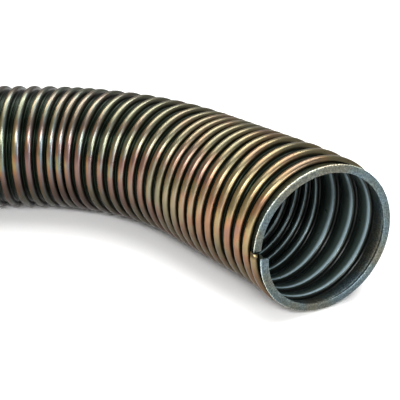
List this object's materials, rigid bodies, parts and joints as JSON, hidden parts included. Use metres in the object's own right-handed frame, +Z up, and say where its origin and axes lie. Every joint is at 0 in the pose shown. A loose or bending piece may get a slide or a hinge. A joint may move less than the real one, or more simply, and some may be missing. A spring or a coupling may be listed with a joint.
{
  "type": "flexible metal exhaust hose",
  "caption": "Flexible metal exhaust hose, helically wound from one interlocked strip, lying on its side with a straight run and a bend to an open mouth.",
  "frame": {"origin": "centre of the bounding box's base, on the surface that the hose lies on", "axes": "+X along the straight run, from the cut far end towards the mouth; +Z up; the hose bends towards -Y"},
  "size_m": [0.5766, 0.2638, 0.1116],
  "materials": {
    "galvanised_strip": "galvanised steel strip with a thin yellow iridescent film"
  },
  "bodies": {
    "root": {"strip_wound_hose": "galvanised_strip"}
  },
  "joints": []
}
